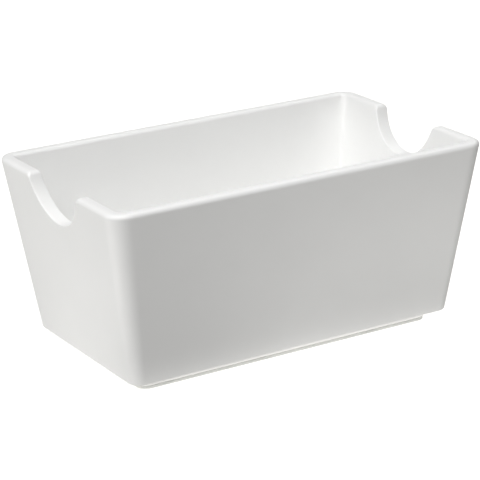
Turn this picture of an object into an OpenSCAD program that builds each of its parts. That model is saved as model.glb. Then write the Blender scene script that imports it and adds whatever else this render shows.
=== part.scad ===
// Sugar packet holder: an open tapered tub with a grip notch in each short wall, standing on a low foot.
// Millimetres, +Z up, +X along the long side, origin on the table under the middle of the tub.

/* [Tub] */
// Length over the rim, measured before its edges are rounded
body_l = 121; // [112:0.5:150]
// Width over the rim, measured before its edges are rounded
body_w = 70.5; // [64:0.5:90]
// Height of the rim above the table
body_h = 54.8; // [45:0.1:75]
// Length of the tub where its walls start
base_l = 105; // [92:0.5:112]
// Width of the tub where its walls start
base_w = 57; // [50:0.5:64]
// Thickness of the walls
wall = 4; // [2.5:0.1:5]
// Thickness of the floor
floor_t = 4; // [2.5:0.1:5]

/* [Corners and edges] */
// Radius of the upright corners at the rim, outside
rim_corner_r = 5.6; // [4:0.1:12]
// Radius of the upright corners at the base, outside
base_corner_r = 3.6; // [3:0.1:12]
// Rounding of the rim, inside and outside
rim_round = 1.35; // [0.4:0.05:2]
// Rounding of the tub's lower outside edge
base_round = 0.5; // [0.3:0.1:2]
// Fillet between the floor and the walls, inside
floor_fillet = 3; // [1:0.1:5]

/* [Grip notches] */
// Radius of the notch
notch_r = 14.2; // [10:0.1:20]
// Depth of the notch below the rim
notch_depth = 11.5; // [6:0.1:18]
// Radius where the notch runs out into the rim
notch_lip_r = 1.5; // [0.5:0.1:3]

/* [Foot] */
// Height of the tub's underside above the table
foot_h = 3.5; // [3:0.1:8]
// How far the foot is set in from the tub's lower edge
foot_inset = 4.6; // [2:0.1:10]
// Width of the foot's wall
foot_w = 5; // [4:0.1:8]
// Radius of the foot's outside corners
foot_corner_r = 3; // [2:0.1:8]

/* [Non-slip ring] */
// Thickness of the ring under the foot
ring_t = 0.9; // [0.5:0.1:1.5]
// Width of the tongue that holds the ring
tongue_w = 1.8; // [1:0.1:2.5]
// Height of the tongue
tongue_h = 1.2; // [0.6:0.1:1.4]
// Clearance between the tongue and its groove
tongue_gap = 0.1; // [0.05:0.05:0.3]

/* [Hidden] */

tub_color = "#f3f3f1";
ring_color = "#e0e1de";

// How finely the tub's surface is drawn
corner_steps = 8;
rim_steps = 6;
fillet_steps = 5;
base_steps = 3;
$fn = 48;

// Least corner radius, where a wall's inside corner would come to a point
corner_min = 0.8;
// Least width left flat along the top of the rim
rim_flat_min = 0.1;
// How far cutters run past what they cut
overrun = 1;

wall_rise = body_h - foot_h;
floor_top = foot_h + floor_t;
// A leaning wall is thicker along the table than it is square to its face
lean_l = sqrt(1 + pow((body_l - base_l) / 2 / wall_rise, 2));
lean_w = sqrt(1 + pow((body_w - base_w) / 2 / wall_rise, 2));
rim_r = min(rim_round, (wall - rim_flat_min) / 2);

foot_l = base_l - 2 * foot_inset;
foot_wide = base_w - 2 * foot_inset;
groove_inset = (foot_w - tongue_w) / 2;

// The tub's surface as a run of levels, each [inset from the outside face, height],
// from its underside, round its lower edge, up the outside, over the rim and down to the floor
function edge_angles(steps) = [for (i = [0:steps]) 90 * i / steps];

base_levels = [for (a = edge_angles(base_steps))
    [base_round * (1 - sin(a)), foot_h + base_round * (1 - cos(a))]];
rim_outer_levels = [for (a = edge_angles(rim_steps))
    [rim_r * (1 - cos(a)), body_h - rim_r * (1 - sin(a))]];
rim_inner_levels = [for (a = edge_angles(rim_steps))
    [wall - rim_r * (1 - sin(a)), body_h - rim_r * (1 - cos(a))]];
floor_levels = [for (a = edge_angles(fillet_steps))
    [wall + floor_fillet * (1 - cos(a)), floor_top + floor_fillet * (1 - sin(a))]];
tub_levels = concat(base_levels, rim_outer_levels, rim_inner_levels, floor_levels);

// Rounded rectangle round the tub at one level
function level_ring(inset, z) =
    let (
        rise_share = (z - foot_h) / wall_rise,
        half_l = (base_l + (body_l - base_l) * rise_share) / 2 - inset * lean_l,
        half_w = (base_w + (body_w - base_w) * rise_share) / 2 - inset * lean_w,
        outside_r = base_corner_r + (rim_corner_r - base_corner_r) * rise_share,
        r = max(outside_r - inset, corner_min)
    )
    [for (quarter = [0:3], i = [0:corner_steps])
        let (
            a = 90 * (quarter + i / corner_steps),
            side_x = (quarter == 0 || quarter == 3) ? 1 : -1,
            side_y = quarter < 2 ? 1 : -1
        )
        [side_x * (half_l - r) + r * cos(a), side_y * (half_w - r) + r * sin(a), z]];

// Closed surface through the levels, with a flat cap on the first and on the last
module skin(levels) {
    n = 4 * (corner_steps + 1);
    last = len(levels) - 1;
    points = [for (level = levels) each level_ring(level[0], level[1])];
    sides = [for (k = [0:last - 1], j = [0:n - 1])
        let (
            here = k * n + j,
            next = k * n + (j + 1) % n
        )
        each [[here, here + n, next], [next, here + n, next + n]]];
    first_cap = [for (j = [0:n - 1]) j];
    last_cap = [for (j = [n - 1:-1:0]) last * n + j];
    polyhedron(points, concat([first_cap, last_cap], sides), convexity = 6);
}

module rounded_plate(l, w, r) {
    square([l - 2 * r, w], center = true);
    square([l, w - 2 * r], center = true);
    for (x = [-1, 1], y = [-1, 1])
        translate([x * (l / 2 - r), y * (w / 2 - r)])
            circle(r);
}

// Flat ring that follows the foot, set in from the foot's outside
module foot_ring(inset, width, height) {
    l = foot_l - 2 * inset;
    w = foot_wide - 2 * inset;
    r = max(foot_corner_r - inset, corner_min);
    inner_r = max(r - width, corner_min);
    linear_extrude(height)
        difference() {
            rounded_plate(l, w, r);
            rounded_plate(l - 2 * width, w - 2 * width, inner_r);
        }
}

// Outline of both notches, looking along the tub: x across the tub, y up from the rim
module notch_outline() {
    centre_up = notch_r - notch_depth;
    lip_x = sqrt(pow(notch_r + notch_lip_r, 2) - pow(centre_up + notch_lip_r, 2));
    top = max(centre_up, 0) + overrun;
    translate([0, centre_up])
        circle(notch_r);
    difference() {
        polygon([
            [-lip_x, top],
            [-lip_x, -notch_lip_r],
            [0, centre_up],
            [lip_x, -notch_lip_r],
            [lip_x, top]
        ]);
        for (x = [-lip_x, lip_x])
            translate([x, -notch_lip_r])
                circle(notch_lip_r);
    }
}

module grip_notches() {
    run = body_l + 2 * overrun;
    translate([-run / 2, 0, body_h])
        rotate([90, 0, 90])
            linear_extrude(run)
                notch_outline();
}

// One moulding: floor, four walls, rim, notches and the foot with its groove
module holder_tub() {
    groove_w = tongue_w + 2 * tongue_gap;
    color(tub_color)
        difference() {
            union() {
                skin(tub_levels);
                translate([0, 0, ring_t])
                    foot_ring(0, foot_w, foot_h + floor_t / 2 - ring_t);
            }
            grip_notches();
            translate([0, 0, ring_t - overrun])
                foot_ring(groove_inset - tongue_gap, groove_w, tongue_h + tongue_gap + overrun);
        }
}

// Soft ring under the foot, with a tongue up into the foot's groove
module non_slip_ring() {
    color(ring_color)
        union() {
            foot_ring(0, foot_w, ring_t);
            foot_ring(groove_inset, tongue_w, ring_t + tongue_h);
        }
}

holder_tub();
non_slip_ring();
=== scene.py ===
import math

import bpy
import numpy as np
from mathutils import Matrix, Vector


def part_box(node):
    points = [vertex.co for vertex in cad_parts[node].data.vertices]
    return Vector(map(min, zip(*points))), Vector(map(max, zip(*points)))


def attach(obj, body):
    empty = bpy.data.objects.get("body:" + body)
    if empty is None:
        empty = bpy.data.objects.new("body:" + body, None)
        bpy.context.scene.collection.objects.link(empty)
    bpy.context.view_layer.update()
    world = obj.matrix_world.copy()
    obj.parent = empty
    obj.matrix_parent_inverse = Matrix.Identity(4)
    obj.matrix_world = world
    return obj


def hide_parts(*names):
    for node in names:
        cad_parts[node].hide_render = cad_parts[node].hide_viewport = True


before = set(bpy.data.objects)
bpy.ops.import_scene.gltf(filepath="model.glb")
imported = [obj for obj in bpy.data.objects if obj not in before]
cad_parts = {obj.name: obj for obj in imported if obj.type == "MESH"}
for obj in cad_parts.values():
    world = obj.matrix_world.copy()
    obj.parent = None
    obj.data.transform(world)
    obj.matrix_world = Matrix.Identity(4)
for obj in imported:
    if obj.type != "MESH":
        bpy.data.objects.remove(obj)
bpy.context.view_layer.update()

# Metres, +Z up, +X along the long side, origin on the table under the middle of the tub.
bl_info = {
    "name": "Sugar packet holder",
    "version": (1, 0, 0),
    "blender": (4, 5, 0),
    "location": "3D View > Sidebar > Holder",
    "description": "Makes a melamine tub for sugar packets, its non-slip ring and a studio stage",
    "category": "Add Mesh",
}

MM = 0.001
TUB_LOW, TUB_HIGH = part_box("holder_tub")
_, RING_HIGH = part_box("non_slip_ring")

# How finely the surfaces are drawn, in steps
NOTCH_STEPS = 30
LIP_STEPS = 8
RIM_RUN_STEPS = 5
CORNER_STEPS = 16
SIDE_STEPS = 8
ROUNDING_STEPS = 9
WALL_STEPS = 12
SMALL_STEPS = 4
# Where a flat meets a rounding, a row this far in keeps the flat's shading flat
SUPPORT = 0.35 * MM
# A run has to be longer than this to get such rows, and the flat inside the foot starts this far in
LONG_RUN = 4 * SUPPORT
# Along a straight side, the first and the last step are this share of it
END_SHARE = 0.02
# A step nearer to an end than the first step times this is left out
CROWDING = 1.5
# Least corner radius, where an inside corner would come to a point
CORNER_MIN = 0.8 * MM
# Rounding of the tongue's top edges, and of the corners where it leaves the ring
TONGUE_ROUND = 0.15 * MM


# Settings that a user would change


def length(name, description, millimetres):
    """A length property, in metres inside Blender."""
    return bpy.props.FloatProperty(
        name=name, description=description, default=millimetres * MM, min=0, precision=5,
        unit="LENGTH")


def linear(hex_colour):
    """Linear RGBA from an sRGB hex colour: each channel goes through the sRGB curve backwards."""
    channels = [int(hex_colour[i:i + 2], 16) / 255 for i in (1, 3, 5)]
    return [c / 12.92 if c <= 0.04045 else ((c + 0.055) / 1.055) ** 2.4 for c in channels] + [1.0]


def colour(name, description, hex_colour):
    """A colour property that starts from an sRGB hex colour."""
    return bpy.props.FloatVectorProperty(
        name=name, description=description, default=linear(hex_colour), size=4, min=0, max=1,
        subtype="COLOR")


class HolderTubSettings(bpy.types.PropertyGroup):
    """Sizes of the moulded tub."""

    rim_length: length("Length over the rim", "Measured before the rim is rounded", 120.95)
    rim_width: length("Width over the rim", "Measured before the rim is rounded", 70.47)
    height: length("Height", "Height of the rim above the table", TUB_HIGH.z / MM)
    base_length: length("Base length", "Length of the tub where its walls start", 105)
    base_width: length("Base width", "Width of the tub where its walls start", 57)
    wall: length("Wall", "Thickness of the walls", 4)
    floor: length("Floor", "Thickness of the floor", 4)
    rim_corner: length("Corner at the rim", "Outside radius of an upright corner", 5.6)
    base_corner: length("Corner at the base", "Outside radius of an upright corner", 3.6)
    rim_round: length("Rim rounding", "Radius along the rim's outside edge", 1.35)
    rim_inner_round: length("Inner rim rounding", "Radius along the rim's inside edge", 0.9)
    notch_round: length("Notch rounding", "Radius along a notch's two edges", 0.3)
    base_round: length("Base rounding", "Radius along the tub's lower outside edge", 0.5)
    floor_fillet: length("Floor fillet", "Radius between the floor and the walls", 3)
    notch_radius: length("Notch radius", "Radius of a grip notch", 14.2)
    notch_depth: length("Notch depth", "Depth of a grip notch below the rim", 11.5)
    notch_lip: length("Notch lip", "Radius where a notch runs out into the rim", 1.5)
    underside: length("Underside", "Height of the tub's underside above the table", 3.5)
    foot_wall: length("Foot wall", "Width of the foot's wall", 5)
    foot_corner: length("Foot corner", "Outside radius of the foot's corners", 3)
    foot_root: length("Foot root", "Fillet where the foot leaves the underside", 0.5)
    foot_edge: length("Foot edge", "Rounding of the foot's lower edges", 0.3)
    groove_depth: length("Groove depth", "Depth of the groove for the ring", 1.3)
    groove_width: length("Groove width", "Width of the groove for the ring", 2)


class HolderRingSettings(bpy.types.PropertyGroup):
    """Sizes of the non-slip ring."""

    thickness: length("Thickness", "Thickness of the ring under the foot", TUB_LOW.z / MM)
    tongue_width: length("Tongue width", "Width of the tongue in the groove", 1.8)
    tongue_top: length("Tongue top", "Height of the tongue above the table", RING_HIGH.z / MM)
    edge: length("Edge rounding", "Rounding of the ring's outer edges", 0.22)


class HolderFinishSettings(bpy.types.PropertyGroup):
    """Colours and gloss of the two finishes."""

    tub_colour: colour("Tub", "Colour of the melamine", "#f8f8f7")
    tub_roughness: bpy.props.FloatProperty(
        name="Tub roughness", description="Roughness of the polished melamine", default=0.38,
        min=0.05, max=1, subtype="FACTOR")
    # The ring's pale grey is partly the rubber's own colour and partly painted shade: it is set to paint
    # the shade line along the foot's bottom
    ring_grey_and_painted_shade: colour("Ring", "Colour of the soft ring", "#e0e1de")


class HolderStageSettings(bpy.types.PropertyGroup):
    """Floor, light and camera."""

    floor_colour: colour("Floor", "Colour of the opal table with its light off", "#757574")
    glow_colour: colour("Glow", "Colour of the light under the table", "#fffefb")
    floor_size: bpy.props.FloatProperty(
        name="Floor size", description="Width of the floor", default=6, min=1, unit="LENGTH")
    azimuth: bpy.props.FloatProperty(
        name="Camera azimuth", description="Turn of the camera round the holder",
        default=math.radians(-31.296), subtype="ANGLE")
    elevation: bpy.props.FloatProperty(
        name="Camera elevation", description="Angle of the camera above the table",
        default=math.radians(19.075), subtype="ANGLE")
    roll: bpy.props.FloatProperty(
        name="Camera roll", description="Turn of the camera round its own axis",
        default=math.radians(-1.18), subtype="ANGLE")
    distance: length("Camera distance", "From the camera to the point that it looks at", 616.6)
    aim_y: length("Aim across", "Where the camera looks, across the holder", 1.847)
    aim_z: length("Aim height", "Height of the point that the camera looks at", 26.6)
    lens: bpy.props.FloatProperty(
        name="Lens", description="Focal length on a 36 mm sensor, in millimetres",
        default=160.54, min=10)


# Shapes: every surface is a grid of points worked out as whole arrays


def arc(centre, radius, start, end, steps):
    """Points on a circle: centre + radius * (cos a, sin a), a in degrees from start to end."""
    a = np.radians(np.linspace(start, end, steps + 1))
    return np.column_stack([centre[0] + radius * np.cos(a), centre[1] + radius * np.sin(a)])


def supported(path):
    """The path with two more points in each long run, SUPPORT in from both of its ends."""
    run = np.diff(path, axis=0)
    size = np.linalg.norm(run, axis=1)
    long = np.flatnonzero(size > LONG_RUN)
    step = run[long] / size[long, None] * SUPPORT
    extra = np.stack([path[long] + step, path[long + 1] - step], axis=1).reshape(-1, 2)
    return np.insert(path, np.repeat(long + 1, 2), extra, axis=0)


def eased(steps, reach, size):
    """Shares from 0 to 1 of a run of this size, in even steps, with one more near each end, as far in
    from it as the reach."""
    inner = np.linspace(0, 1, steps + 1)[1:-1]
    near = reach / size
    kept = inner[(inner > CROWDING * near) & (inner < 1 - CROWDING * near)]
    return np.concatenate([[0, near], kept, [1 - near, 1]])


class Stations:
    """Upright columns round a quarter of a rounded rectangle, from the middle of the +X end to the
    middle of the +Y side. A point's x is (half_l - r) * along + r * cos a, and its y is
    (half_w - r) * across + r * sin a."""

    def __init__(self, end_shares, corner_steps, side_steps):
        side = eased(side_steps, END_SHARE, 1)[::-1][1:]
        corner = np.radians(np.linspace(0, 90, corner_steps + 1))[1:]
        n_end, n_corner, n_side = len(end_shares), len(corner), len(side)
        self.along = np.concatenate([np.ones(n_end + n_corner), side])
        self.across = np.concatenate([end_shares, np.ones(n_corner + n_side)])
        self.angle = np.concatenate([np.zeros(n_end), corner, np.full(n_side, math.pi / 2)])
        self.middle = n_end - 1 + corner_steps // 2
        self.count = n_end + n_corner + n_side

    def place(self, half_l, half_w, r, z, across=None):
        """Grid of points, a row for each level and a column for each station."""
        across = self.across if across is None else across
        x = (half_l - r) * self.along + r * np.cos(self.angle)
        y = (half_w - r) * across + r * np.sin(self.angle)
        return np.stack(np.broadcast_arrays(x, y, z), axis=-1)


def all_round(quarter):
    """The whole ring from one quarter: mirrored in X, in both, then in Y, each turned to run on."""
    in_x, in_y = np.array([-1, 1, 1]), np.array([1, -1, 1])
    return np.concatenate([
        quarter,
        quarter[:, -2::-1] * in_x,
        quarter[:, 1:] * in_x * in_y,
        quarter[:, -2:0:-1] * in_y,
    ], axis=1)


def between_rows(rows, columns, wrap_rows=False):
    """Quads that join each row of a grid to the next, and its last column to its first."""
    index = np.arange(rows * columns).reshape(rows, columns)
    if wrap_rows:
        index = np.vstack([index, index[:1]])
    right = np.roll(index, -1, axis=1)
    return np.stack([index[:-1], right[:-1], right[1:], index[1:]], axis=-1).reshape(-1, 4)


def cap(ring, ring_index, next_index, middle, quarter_count):
    """Flat patch inside a closed ring of points. Its four sides run between the middles of the corners.
    A point inside is the sum of the two straight blends between opposite sides, less the corners' own
    blend."""
    n = len(ring)
    corners = [middle, 2 * (quarter_count - 1) - middle]
    corners += [c + 2 * (quarter_count - 1) for c in corners]
    ends = corners[1:] + [corners[0] + n]
    top, left, bottom, right = (np.arange(start, end + 1) % n for start, end in zip(corners, ends))
    left, bottom = left[::-1], bottom[::-1]
    # top and bottom run from +X to -X; left and right run from -Y to +Y
    top_p, bottom_p, left_p, right_p = (ring[s] for s in (top, bottom, left, right))
    u = ((top_p[:, 0] - top_p[0, 0]) / (top_p[-1, 0] - top_p[0, 0]))[:, None, None]
    v = ((right_p[:, 1] - right_p[0, 1]) / (right_p[-1, 1] - right_p[0, 1]))[None, :, None]
    blend = (1 - v) * bottom_p[:, None] + v * top_p[:, None] + (1 - u) * right_p[None] + u * left_p[None]
    blend -= (1 - u) * ((1 - v) * bottom_p[0] + v * top_p[0])
    blend -= u * ((1 - v) * bottom_p[-1] + v * top_p[-1])
    rows, columns = len(top), len(right)
    index = np.zeros((rows, columns), int)
    index[:, 0], index[:, -1] = ring_index[bottom], ring_index[top]
    index[0], index[-1] = ring_index[right], ring_index[left]
    inside = (rows - 2, columns - 2)
    index[1:-1, 1:-1] = next_index + np.arange(math.prod(inside)).reshape(inside)
    faces = np.stack([index[:-1, :-1], index[:-1, 1:], index[1:, 1:], index[1:, :-1]], axis=-1)
    return blend[1:-1, 1:-1].reshape(-1, 3), faces.reshape(-1, 4)


def new_piece(name, points, faces, material, node, wear=None):
    """Makes the mesh, rides it on the body and hides the CAD node that it stands for."""
    mesh = bpy.data.meshes.new(name)
    mesh.from_pydata(points.tolist(), [], faces.tolist())
    mesh.update()
    mesh.shade_smooth()
    if wear is not None:
        values = wear.astype(np.float32)
        mesh.attributes.new("wear", "FLOAT", "POINT").data.foreach_set("value", values)
    mesh.materials.append(material)
    piece = bpy.data.objects.new(name, mesh)
    bpy.context.scene.collection.objects.link(piece)
    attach(piece, "root")
    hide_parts(node)
    return piece


def notch_edge(tub):
    """Top edge of half an end wall, from the notch's middle to its lip's end, and the direction into the
    wall. It is a circle with its centre above the rim, then a small one that touches it and the rim."""
    centre_z = tub.height + tub.notch_radius - tub.notch_depth
    lip_z = tub.height - tub.notch_lip
    lip_y = math.sqrt((tub.notch_radius + tub.notch_lip) ** 2 - (centre_z - lip_z) ** 2)
    meet = math.degrees(math.atan2(lip_z - centre_z, lip_y))
    bowl = arc((0, centre_z), tub.notch_radius, -90, meet, NOTCH_STEPS)
    lip = arc((lip_y, lip_z), tub.notch_lip, 180 + meet, 90, LIP_STEPS)[1:]
    bowl_in = (bowl - (0, centre_z)) / tub.notch_radius
    lip_in = ((lip_y, lip_z) - lip) / tub.notch_lip
    return np.vstack([bowl, lip]), np.vstack([bowl_in, lip_in])


def foot_profile(tub, bottom):
    """The underside's section from inside the foot to outside it: fillet, inner wall, lower edge, groove,
    lower edge, outer wall, fillet. A point is [inset from the foot's outside, height]."""
    root, edge = tub.foot_root, tub.foot_edge
    # The groove's edges are half as round as the foot's
    small = edge / 2
    near = (tub.foot_wall - tub.groove_width) / 2
    far, top = near + tub.groove_width, bottom + tub.groove_depth
    return supported(np.vstack([
        [[tub.foot_wall + root + LONG_RUN, tub.underside]],
        arc((tub.foot_wall + root, tub.underside - root), root, 90, 180, SMALL_STEPS),
        arc((tub.foot_wall - edge, bottom + edge), edge, 0, -90, SMALL_STEPS),
        arc((far + small, bottom + small), small, 270, 180, SMALL_STEPS),
        arc((far - small, top - small), small, 0, 90, SMALL_STEPS),
        arc((near + small, top - small), small, 90, 180, SMALL_STEPS),
        arc((near - small, bottom + small), small, 0, -90, SMALL_STEPS),
        arc((edge, bottom + edge), edge, 270, 180, SMALL_STEPS),
        arc((-root, tub.underside - root), root, 0, 90, SMALL_STEPS),
    ]))


def tub_surface(tub):
    """One closed surface. Rows run from the underside's middle out over the foot, round the lower edge,
    up the outside, over the rim or the notch's edge, down the inside and over the floor's fillet."""
    edge, inward = notch_edge(tub)
    end_y = tub.rim_width / 2 - tub.rim_corner
    reach = end_y - edge[-1, 0]
    run = eased(RIM_RUN_STEPS, SUPPORT, reach)[1:]
    stations = Stations(
        np.concatenate([edge[:, 0], edge[-1, 0] + reach * run]) / end_y, CORNER_STEPS, SIDE_STEPS)
    n, n_edge = stations.count, len(edge)
    # Past the notch the top edge is the rim, and its columns spread out towards the corner
    spread = np.zeros(n)
    spread[n_edge:n_edge + len(run)] = run
    fixed_y = np.full(n, edge[-1, 0])
    fixed_y[:n_edge] = edge[:, 0]
    edge_z = np.full(n, tub.height)
    edge_z[:n_edge] = edge[:, 1]
    into = np.tile((0.0, -1.0), (n, 1))
    into[:n_edge] = inward
    on_end = np.arange(n) < n_edge + len(run)
    lean_l = math.hypot(1, (tub.rim_length - tub.base_length) / 2 / (tub.height - tub.underside))
    lean_w = math.hypot(1, (tub.rim_width - tub.base_width) / 2 / (tub.height - tub.underside))
    # The roundings along the notch's bowl differ from those along the rim, and change over the lip
    turned = np.clip(-into[:, 1], 0, 1)
    turned[:NOTCH_STEPS] = 0
    outer = tub.notch_round + (tub.rim_round - tub.notch_round) * turned
    inner = tub.notch_round + (tub.rim_inner_round - tub.notch_round) * turned

    def level(z, inset):
        """Half length, half width and corner radius at height z and an inset from the outside: all
        three grow in a straight line with height, and the inset is taken square to the wall."""
        share = (z - tub.underside) / (tub.height - tub.underside)
        half_l = (tub.base_length + (tub.rim_length - tub.base_length) * share) / 2 - inset * lean_l
        half_w = (tub.base_width + (tub.rim_width - tub.base_width) * share) / 2 - inset * lean_w
        r = tub.base_corner + (tub.rim_corner - tub.base_corner) * share - inset
        return half_l, half_w, np.maximum(r, CORNER_MIN)

    def grid(z, inset, y=None):
        """Points at height z and inset. Where y is given, the end wall's columns lie at it."""
        half_l, half_w, r = level(z, inset)
        across = None if y is None else np.where(on_end, y / (half_w - r), 1.0)
        return stations.place(half_l, half_w, r, z, across)

    def held(y, z, inset):
        """Columns on the notch keep their y, and those from it to the corner share out what is left."""
        _, half_w, r = level(z, inset)
        return y * (1 - spread) + spread * (half_w - r)

    def upper(turn, inset, rounding):
        """Rows along the top edge: turn is the angle round the rounding, from the wall's face on."""
        down = rounding * (1 - np.sin(turn))
        z = edge_z + into[:, 1] * down
        return grid(z, inset, held(fixed_y + into[:, 0] * down, z, inset))

    def walls(low_z, inset, shares, rounding):
        """Rows from a level up to where the rounding starts, along straight lines in the wall."""
        top_z = edge_z + into[:, 1] * rounding
        top_y = held(fixed_y + into[:, 0] * rounding, top_z, inset)
        _, low_half_w, low_r = level(low_z, inset)
        low_y = (low_half_w - low_r) * stations.across
        share = shares[:, None]
        return grid(low_z + (top_z - low_z) * share, inset, low_y + (top_y - low_y) * share)

    turn = np.radians(np.linspace(0, 90, ROUNDING_STEPS + 1))[:, None]
    foot = foot_profile(tub, TUB_LOW.z)
    v, z = foot[:, :1], foot[:, 1:]
    foot_rows = stations.place(
        RING_HIGH.x - v, RING_HIGH.y - v, np.maximum(tub.foot_corner - v, CORNER_MIN), z)
    under = grid(np.full((1, 1), tub.underside), tub.base_round + SUPPORT)
    low = grid(
        tub.underside + tub.base_round * (1 - np.cos(turn)), tub.base_round * (1 - np.sin(turn)))
    shares = eased(WALL_STEPS, SUPPORT, tub.height - tub.underside)
    outside = walls(tub.underside + tub.base_round, 0.0, shares[1:], outer)
    over = upper(turn[1:], outer * (1 - np.cos(turn[1:])), outer)
    middle = upper(turn[-1:], tub.wall / 2, outer)
    back = upper(turn[::-1], tub.wall - inner * (1 - np.cos(turn[::-1])), inner)
    fillet_top = tub.underside + tub.floor + tub.floor_fillet
    inside = walls(fillet_top, tub.wall, shares[::-1][1:], inner)
    bend = turn[1:]
    fillet = grid(
        fillet_top - tub.floor_fillet * np.sin(bend), tub.wall + tub.floor_fillet * (1 - np.cos(bend)))
    flat = grid(np.full((1, 1), tub.underside + tub.floor), tub.wall + tub.floor_fillet + SUPPORT)
    # Each block of rows, with how rubbed it is: the foot and the lower edge partly, the rim fully
    blocks = [
        (foot_rows, 0.6), (under, 0), (low, 0.7), (outside, 0), (over, 1), (middle, 1), (back, 1),
        (inside, 0), (fillet, 0), (flat, 0),
    ]
    rows = np.concatenate([np.broadcast_to(block, (len(block), n, 3)) for block, _ in blocks])
    wear = np.concatenate([np.full(len(block), worn) for block, worn in blocks])
    rows = all_round(rows)
    count, columns = rows.shape[:2]
    points, faces = rows.reshape(-1, 3), between_rows(count, columns)
    first = np.arange(columns)
    last = first + (count - 1) * columns
    low_points, low_faces = cap(rows[0], first, len(points), stations.middle, n)
    points = np.vstack([points, low_points])
    floor_points, floor_faces = cap(rows[-1], last, len(points), stations.middle, n)
    points = np.vstack([points, floor_points])
    wear = np.concatenate([np.repeat(wear, columns), np.zeros(len(low_points) + len(floor_points))])
    return points, np.vstack([faces, low_faces[:, ::-1], floor_faces]), wear


def ring_surface(ring, tub):
    """A closed section carried round the foot: a flat flange with a tongue on top, edges rounded."""
    edge, small = ring.edge, TONGUE_ROUND
    near = (tub.foot_wall - ring.tongue_width) / 2
    far, top, flange = near + ring.tongue_width, ring.tongue_top, ring.thickness
    wall = tub.foot_wall
    section = np.vstack([
        arc((edge, edge), edge, 270, 180, SMALL_STEPS),
        arc((edge, flange - edge), edge, 180, 90, SMALL_STEPS),
        arc((near - small, flange + small), small, 270, 360, SMALL_STEPS),
        arc((near + small, top - small), small, 180, 90, SMALL_STEPS),
        arc((far - small, top - small), small, 90, 0, SMALL_STEPS),
        arc((far + small, flange + small), small, 180, 270, SMALL_STEPS),
        arc((wall - edge, flange - edge), edge, 90, 0, SMALL_STEPS),
        arc((wall - edge, edge), edge, 360, 270, SMALL_STEPS),
    ])
    section = supported(np.vstack([section, section[:1]]))[:-1]
    stations = Stations(eased(SIDE_STEPS, END_SHARE, 1), CORNER_STEPS, SIDE_STEPS)
    v, z = section[:, :1], section[:, 1:]
    rows = all_round(stations.place(
        RING_HIGH.x - v, RING_HIGH.y - v, np.maximum(tub.foot_corner - v, CORNER_MIN), z))
    count, columns = rows.shape[:2]
    return rows.reshape(-1, 3), between_rows(count, columns, wrap_rows=True)


# Finishes

# A noise texture's values lie mostly between these two
NOISE_LOW, NOISE_HIGH = 0.3, 0.7
# Melamine: how far across the clouds, the polish and the ripples are, and how strong each is
CLOUD_SIZE = 14 * MM
CLOUD_SHADE = 0.985
POLISH_SIZE = 5 * MM
POLISH_SPREAD = 0.025
RUBBED_ROUGHNESS = 0.06
RIPPLE_SIZE = 2.2 * MM
RIPPLE_DEPTH = 0.01 * MM
RIPPLE_STRENGTH = 0.25
MELAMINE_IOR = 1.55
# Rubber: the same for dust and for the tool's grain
DUST_SIZE = 6 * MM
DUST_SHADE = (0.94, 1.03)
GRAIN_SIZE = 0.25 * MM
GRAIN_DEPTH = 0.02 * MM
GRAIN_STRENGTH = 0.5
RUBBER_ROUGHNESS = 0.8
RUBBER_IOR = 1.5
# Opal plastic
MOTTLE_SIZE = 9 * MM
MOTTLE_SHADE = 0.99
OPAL_ROUGHNESS = 0.9
OPAL_SPECULAR = 0.1


def add(tree, kind, links=None, values=None, **settings):
    """Adds one node: settings are its own fields, values fill its sockets, links feed them."""
    node = tree.nodes.new(kind)
    for name, value in settings.items():
        setattr(node, name, value)
    for name, value in (values or {}).items():
        node.inputs[name].default_value = value
    for name, source in (links or {}).items():
        tree.links.new(source, node.inputs[name])
    return node


def new_material(name):
    """An empty node material: its tree, its surface shader and the object's own coordinates."""
    material = bpy.data.materials.new(name)
    material.use_nodes = True
    tree = material.node_tree
    tree.nodes.clear()
    shader = add(tree, "ShaderNodeBsdfPrincipled")
    add(tree, "ShaderNodeOutputMaterial", {"Surface": shader.outputs[0]})
    return material, tree, shader, add(tree, "ShaderNodeTexCoord").outputs["Object"]


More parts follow.
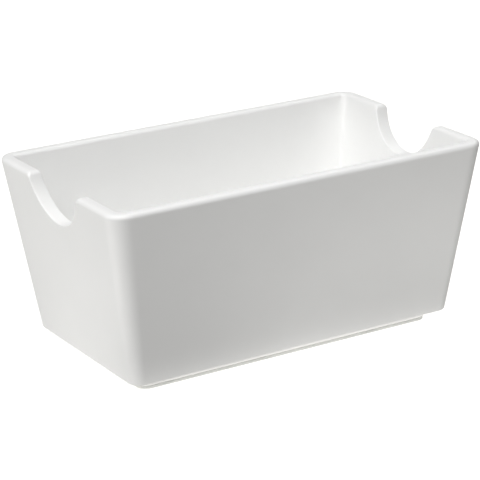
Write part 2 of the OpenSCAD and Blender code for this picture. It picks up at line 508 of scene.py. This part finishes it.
def melamine(finish):
    """Melamine-formaldehyde, compression moulded in a polished tool: hard, opaque, cool white, an even
    satin gloss, with faint clouding, and fine rubbing along the edges that hands and tables meet."""
    material, tree, shader, where = new_material("melamine_white_moulded")
    wear = add(tree, "ShaderNodeAttribute", attribute_name="wear")
    # The filler shows as very faint clouds
    clouds = add(tree, "ShaderNodeTexNoise", {"Vector": where}, {"Scale": 1 / CLOUD_SIZE, "Detail": 2})
    tint = add(tree, "ShaderNodeMapRange", {"Value": clouds.outputs["Fac"]},
               {"From Min": NOISE_LOW, "From Max": NOISE_HIGH, "To Min": CLOUD_SHADE, "To Max": 1.0})
    base = add(tree, "ShaderNodeVectorMath", {0: tint.outputs[0]}, {1: finish.tub_colour[:3]},
               operation="MULTIPLY")
    # The tool's polish varies, so the gloss does so in patches, and rubbed edges are duller
    patches = add(tree, "ShaderNodeTexNoise", {"Vector": where}, {"Scale": 1 / POLISH_SIZE, "Detail": 3})
    gloss = add(tree, "ShaderNodeMapRange", {"Value": patches.outputs["Fac"]},
                {"From Min": NOISE_LOW, "From Max": NOISE_HIGH,
                 "To Min": finish.tub_roughness - POLISH_SPREAD,
                 "To Max": finish.tub_roughness + POLISH_SPREAD})
    rubbed = add(tree, "ShaderNodeMath", {0: wear.outputs["Fac"]}, {1: RUBBED_ROUGHNESS},
                 operation="MULTIPLY")
    roughness = add(tree, "ShaderNodeMath", {0: gloss.outputs[0], 1: rubbed.outputs[0]},
                    operation="ADD")
    # The flow of the moulding powder leaves very shallow ripples, so highlights aren't quite even
    ripple = add(tree, "ShaderNodeTexNoise", {"Vector": where}, {"Scale": 1 / RIPPLE_SIZE, "Detail": 1})
    bump = add(tree, "ShaderNodeBump", {"Height": ripple.outputs["Fac"]},
               {"Strength": RIPPLE_STRENGTH, "Distance": RIPPLE_DEPTH})
    tree.links.new(base.outputs[0], shader.inputs["Base Color"])
    tree.links.new(roughness.outputs[0], shader.inputs["Roughness"])
    tree.links.new(bump.outputs[0], shader.inputs["Normal"])
    shader.inputs["IOR"].default_value = MELAMINE_IOR
    return material


def soft_rubber(finish):
    """Thermoplastic rubber, moulded against a spark-eroded tool: pale grey, dead matt, finely grained. The
    pale grey is partly the rubber's own colour and partly painted shade: it is set dark enough to paint the
    shade line along the foot's bottom.
    """
    material, tree, shader, where = new_material("rubber_grey_with_painted_shade")
    # Dust lies in patches, so the grey isn't quite even
    dust = add(tree, "ShaderNodeTexNoise", {"Vector": where}, {"Scale": 1 / DUST_SIZE, "Detail": 3})
    shade = add(tree, "ShaderNodeMapRange", {"Value": dust.outputs["Fac"]},
                {"From Min": NOISE_LOW, "From Max": NOISE_HIGH,
                 "To Min": DUST_SHADE[0], "To Max": DUST_SHADE[1]})
    # Painted shade: the ring's grey also stands in for the shade line along the foot's bottom
    base = add(tree, "ShaderNodeVectorMath", {0: shade.outputs[0]}, {1: finish.ring_grey_and_painted_shade[:3]},
               operation="MULTIPLY")
    # The tool's grain takes away what gloss is left
    grain = add(tree, "ShaderNodeTexNoise", {"Vector": where}, {"Scale": 1 / GRAIN_SIZE, "Detail": 1})
    bump = add(tree, "ShaderNodeBump", {"Height": grain.outputs["Fac"]},
               {"Strength": GRAIN_STRENGTH, "Distance": GRAIN_DEPTH})
    tree.links.new(base.outputs[0], shader.inputs["Base Color"])
    tree.links.new(bump.outputs[0], shader.inputs["Normal"])
    shader.inputs["Roughness"].default_value = RUBBER_ROUGHNESS
    shader.inputs["IOR"].default_value = RUBBER_IOR
    return material


def opal(name, stage):
    """Opal plastic with a blasted face: matt and nearly even, with the colour of the lamps under it."""
    material, tree, shader, where = new_material(name)
    # The blasting leaves a faint unevenness, drawn coarse so that it shows at all
    mottle = add(tree, "ShaderNodeTexNoise", {"Vector": where}, {"Scale": 1 / MOTTLE_SIZE, "Detail": 4})
    shade = add(tree, "ShaderNodeMapRange", {"Value": mottle.outputs["Fac"]},
                {"From Min": NOISE_LOW, "From Max": NOISE_HIGH, "To Min": MOTTLE_SHADE, "To Max": 1.0})
    base = add(tree, "ShaderNodeVectorMath", {0: shade.outputs[0]}, {1: stage.floor_colour[:3]},
               operation="MULTIPLY")
    tree.links.new(base.outputs[0], shader.inputs["Base Color"])
    shader.inputs["Roughness"].default_value = OPAL_ROUGHNESS
    shader.inputs["Specular IOR Level"].default_value = OPAL_SPECULAR
    shader.inputs["Emission Color"].default_value = stage.glow_colour
    return material, tree, shader


def opal_table(stage):
    """Opal acrylic table top, sandblasted and lit from below as well as from above, so that it comes out
    as white as a product photographer's light table."""
    material, _, shader = opal("acrylic_opal_sandblasted", stage)
    shader.inputs["Emission Strength"].default_value = FLOOR_GLOW
    return material


def reflector_sheet(stage):
    """Matt polyester sheet over a lamp panel: like the table, but it glows by its "glow" attribute."""
    material, tree, shader = opal("polyester_opal_matt", stage)
    glow = add(tree, "ShaderNodeAttribute", attribute_name="glow")
    tree.links.new(glow.outputs["Fac"], shader.inputs["Emission Strength"])
    return material


# Stage

# How bright the lit table is by itself: just white
FLOOR_GLOW = 1.0
# The room is dark, so that all light comes from the lights and the table
WORLD_GREY = 0.0
# Light goes on bouncing between the white walls
DIFFUSE_BOUNCES = 8
# Large soft lights, all as far off and as wide, in metres: name, azimuth, elevation, watts
LIGHT_DISTANCE = 1.2
LIGHT_WIDTH = 0.8
LIGHTS = (
    ("key", -45, 55, 10.2),
    ("top", 0, 72, 3.8),
    ("left_low", -90, 12, 3.7),
    ("back", 135, 40, 3.5),
)
# Reflector round the holder, in millimetres: how bright it is at each reach beyond the foot, with a row for
# each direction in degrees of azimuth. It is dark at its outer edge
REFLECTOR_LIFT = 0.3
REFLECTOR_EDGE = 2900
REFLECTOR_REACH = (0.5, 16, 50, 160)
REFLECTOR_GLOW = {
    -135: (0.8, 0.4, 0.2, 0.2),
    -90: (0.8, 0.6, 1.3, 0.9),
    -45: (1.2, 0.0, 0.0, 0.0),
    0: (1.3, 0.3, 0.8, 0.0),
    45: (1.3, 0.2, 0.9, 0.1),
    90: (1.1, 0.7, 0.5, 0.2),
    180: (0.8, 0.4, 0.9, 0.5),
}
# Camera: width of the sensor in millimetres, and the nearest and farthest that it sees, in metres
SENSOR_WIDTH = 36
CLIP_START, CLIP_END = 0.01, 100


def direction(azimuth, elevation):
    """Unit vector from the holder: an azimuth of 0 is -Y and 90 is +X, and elevation is upwards."""
    return Vector((
        math.sin(azimuth) * math.cos(elevation),
        -math.cos(azimuth) * math.cos(elevation),
        math.sin(elevation)))


def add_light(name, azimuth, elevation, watts):
    """Square soft light that faces the holder."""
    data = bpy.data.lights.new(name, "AREA")
    data.size, data.energy = LIGHT_WIDTH, watts
    light = bpy.data.objects.new(name, data)
    back = direction(math.radians(azimuth), math.radians(elevation))
    light.rotation_mode = "QUATERNION"
    light.location = back * LIGHT_DISTANCE + Vector((0, 0, TUB_HIGH.z / 2))
    light.rotation_quaternion = (-back).to_track_quat("-Z", "Y")
    light.visible_camera = False
    # Light reaches surfaces by shadow rays alone, which the reflector lets through
    data.cycles.use_multiple_importance_sampling = False
    bpy.context.scene.collection.objects.link(light)


def add_reflector(stage, tub):
    """Sheet that lies on the table and throws light up at the holder, and that the camera doesn't see.
    Its rows are rounded rectangles round the foot, and its glow runs in straight lines between the
    values in REFLECTOR_GLOW."""
    reach = np.array([*REFLECTOR_REACH, REFLECTOR_EDGE])[:, None] * MM
    stations = Stations(eased(SIDE_STEPS, END_SHARE, 1), CORNER_STEPS, SIDE_STEPS)
    rows = all_round(stations.place(
        RING_HIGH.x + reach, RING_HIGH.y + reach, tub.foot_corner + reach,
        np.full(reach.shape, REFLECTOR_LIFT * MM)))
    azimuth = np.degrees(np.arctan2(rows[..., 0], -rows[..., 1]))
    glow = np.zeros(azimuth.shape)
    for row, known in enumerate(zip(*REFLECTOR_GLOW.values())):
        glow[row] = np.interp(azimuth[row], list(REFLECTOR_GLOW), known, period=360)
    mesh = bpy.data.meshes.new("reflector")
    mesh.from_pydata(rows.reshape(-1, 3).tolist(), [], between_rows(*rows.shape[:2]).tolist())
    values = glow.ravel().astype(np.float32)
    mesh.attributes.new("glow", "FLOAT", "POINT").data.foreach_set("value", values)
    mesh.materials.append(reflector_sheet(stage))
    reflector = bpy.data.objects.new("reflector", mesh)
    bpy.context.scene.collection.objects.link(reflector)
    reflector.visible_camera = reflector.visible_shadow = False


def add_camera(stage):
    """Camera at the photograph's viewing angle: straight back from the point aimed at, then rolled."""
    back = direction(stage.azimuth, stage.elevation)
    right = Vector((math.cos(stage.azimuth), math.sin(stage.azimuth), 0))
    up = back.cross(right)
    c, s = math.cos(stage.roll), math.sin(stage.roll)
    turned = Matrix((c * right + s * up, c * up - s * right, back)).transposed()
    place = Vector((0, stage.aim_y, stage.aim_z)) + back * stage.distance
    data = bpy.data.cameras.new("camera")
    data.sensor_width = SENSOR_WIDTH
    data.lens = stage.lens
    data.clip_start, data.clip_end = CLIP_START, CLIP_END
    camera = bpy.data.objects.new("camera", data)
    camera.matrix_world = Matrix.Translation(place) @ turned.to_4x4()
    bpy.context.scene.collection.objects.link(camera)
    bpy.context.scene.camera = camera


# Operators, panel and registration


class HOLDER_OT_tub(bpy.types.Operator):
    """Make the moulded tub with its rim, notches and foot"""

    bl_idname = "holder.tub"
    bl_label = "Tub"

    def execute(self, context):
        scene = context.scene
        points, faces, wear = tub_surface(scene.holder_tub)
        finish = melamine(scene.holder_finish)
        new_piece("tub_moulded", points, faces, finish, "holder_tub", wear)
        return {"FINISHED"}


class HOLDER_OT_ring(bpy.types.Operator):
    """Make the soft ring under the foot, with its tongue"""

    bl_idname = "holder.ring"
    bl_label = "Non-slip ring"

    def execute(self, context):
        scene = context.scene
        points, faces = ring_surface(scene.holder_ring, scene.holder_tub)
        finish = soft_rubber(scene.holder_finish)
        new_piece("ring_moulded", points, faces, finish, "non_slip_ring")
        return {"FINISHED"}


class HOLDER_OT_stage(bpy.types.Operator):
    """Make the pale floor, the soft lights and the camera"""

    bl_idname = "holder.stage"
    bl_label = "Stage"

    def execute(self, context):
        stage = context.scene.holder_stage
        half = stage.floor_size / 2
        mesh = bpy.data.meshes.new("floor")
        corners = [(-half, -half, 0), (half, -half, 0), (half, half, 0), (-half, half, 0)]
        mesh.from_pydata(corners, [], [(0, 1, 2, 3)])
        mesh.materials.append(opal_table(stage))
        floor = bpy.data.objects.new("floor", mesh)
        context.scene.collection.objects.link(floor)
        world = bpy.data.worlds.new("room")
        world.use_nodes = True
        background = world.node_tree.nodes["Background"]
        background.inputs["Color"].default_value = (1, 1, 1, 1)
        background.inputs["Strength"].default_value = WORLD_GREY
        context.scene.world = world
        for light in LIGHTS:
            add_light(*light)
        add_reflector(stage, context.scene.holder_tub)
        add_camera(stage)
        context.scene.view_settings.view_transform = "Standard"
        context.scene.cycles.diffuse_bounces = DIFFUSE_BOUNCES
        return {"FINISHED"}


class HOLDER_PT_panel(bpy.types.Panel):
    """Lists what can be made"""

    bl_idname = "HOLDER_PT_panel"
    bl_label = "Sugar packet holder"
    bl_space_type = "VIEW_3D"
    bl_region_type = "UI"
    bl_category = "Holder"

    def draw(self, context):
        for operator, settings in STEPS:
            box = self.layout.box()
            box.operator(operator)
            group = getattr(context.scene, settings)
            for name in group.__annotations__:
                box.prop(group, name)
        for name in context.scene.holder_finish.__annotations__:
            self.layout.prop(context.scene.holder_finish, name)


STEPS = (("holder.tub", "holder_tub"), ("holder.ring", "holder_ring"), ("holder.stage", "holder_stage"))
GROUPS = (
    ("holder_tub", HolderTubSettings),
    ("holder_ring", HolderRingSettings),
    ("holder_finish", HolderFinishSettings),
    ("holder_stage", HolderStageSettings),
)
CLASSES = tuple(group for _, group in GROUPS) + (
    HOLDER_OT_tub, HOLDER_OT_ring, HOLDER_OT_stage, HOLDER_PT_panel)


def register():
    for cls in CLASSES:
        bpy.utils.register_class(cls)
    for name, group in GROUPS:
        setattr(bpy.types.Scene, name, bpy.props.PointerProperty(type=group))


def unregister():
    for name, _ in GROUPS:
        delattr(bpy.types.Scene, name)
    for cls in reversed(CLASSES):
        bpy.utils.unregister_class(cls)


def main():
    register()
    bpy.ops.holder.tub()
    bpy.ops.holder.ring()
    bpy.ops.holder.stage()


if __name__ == "__main__":
    main()
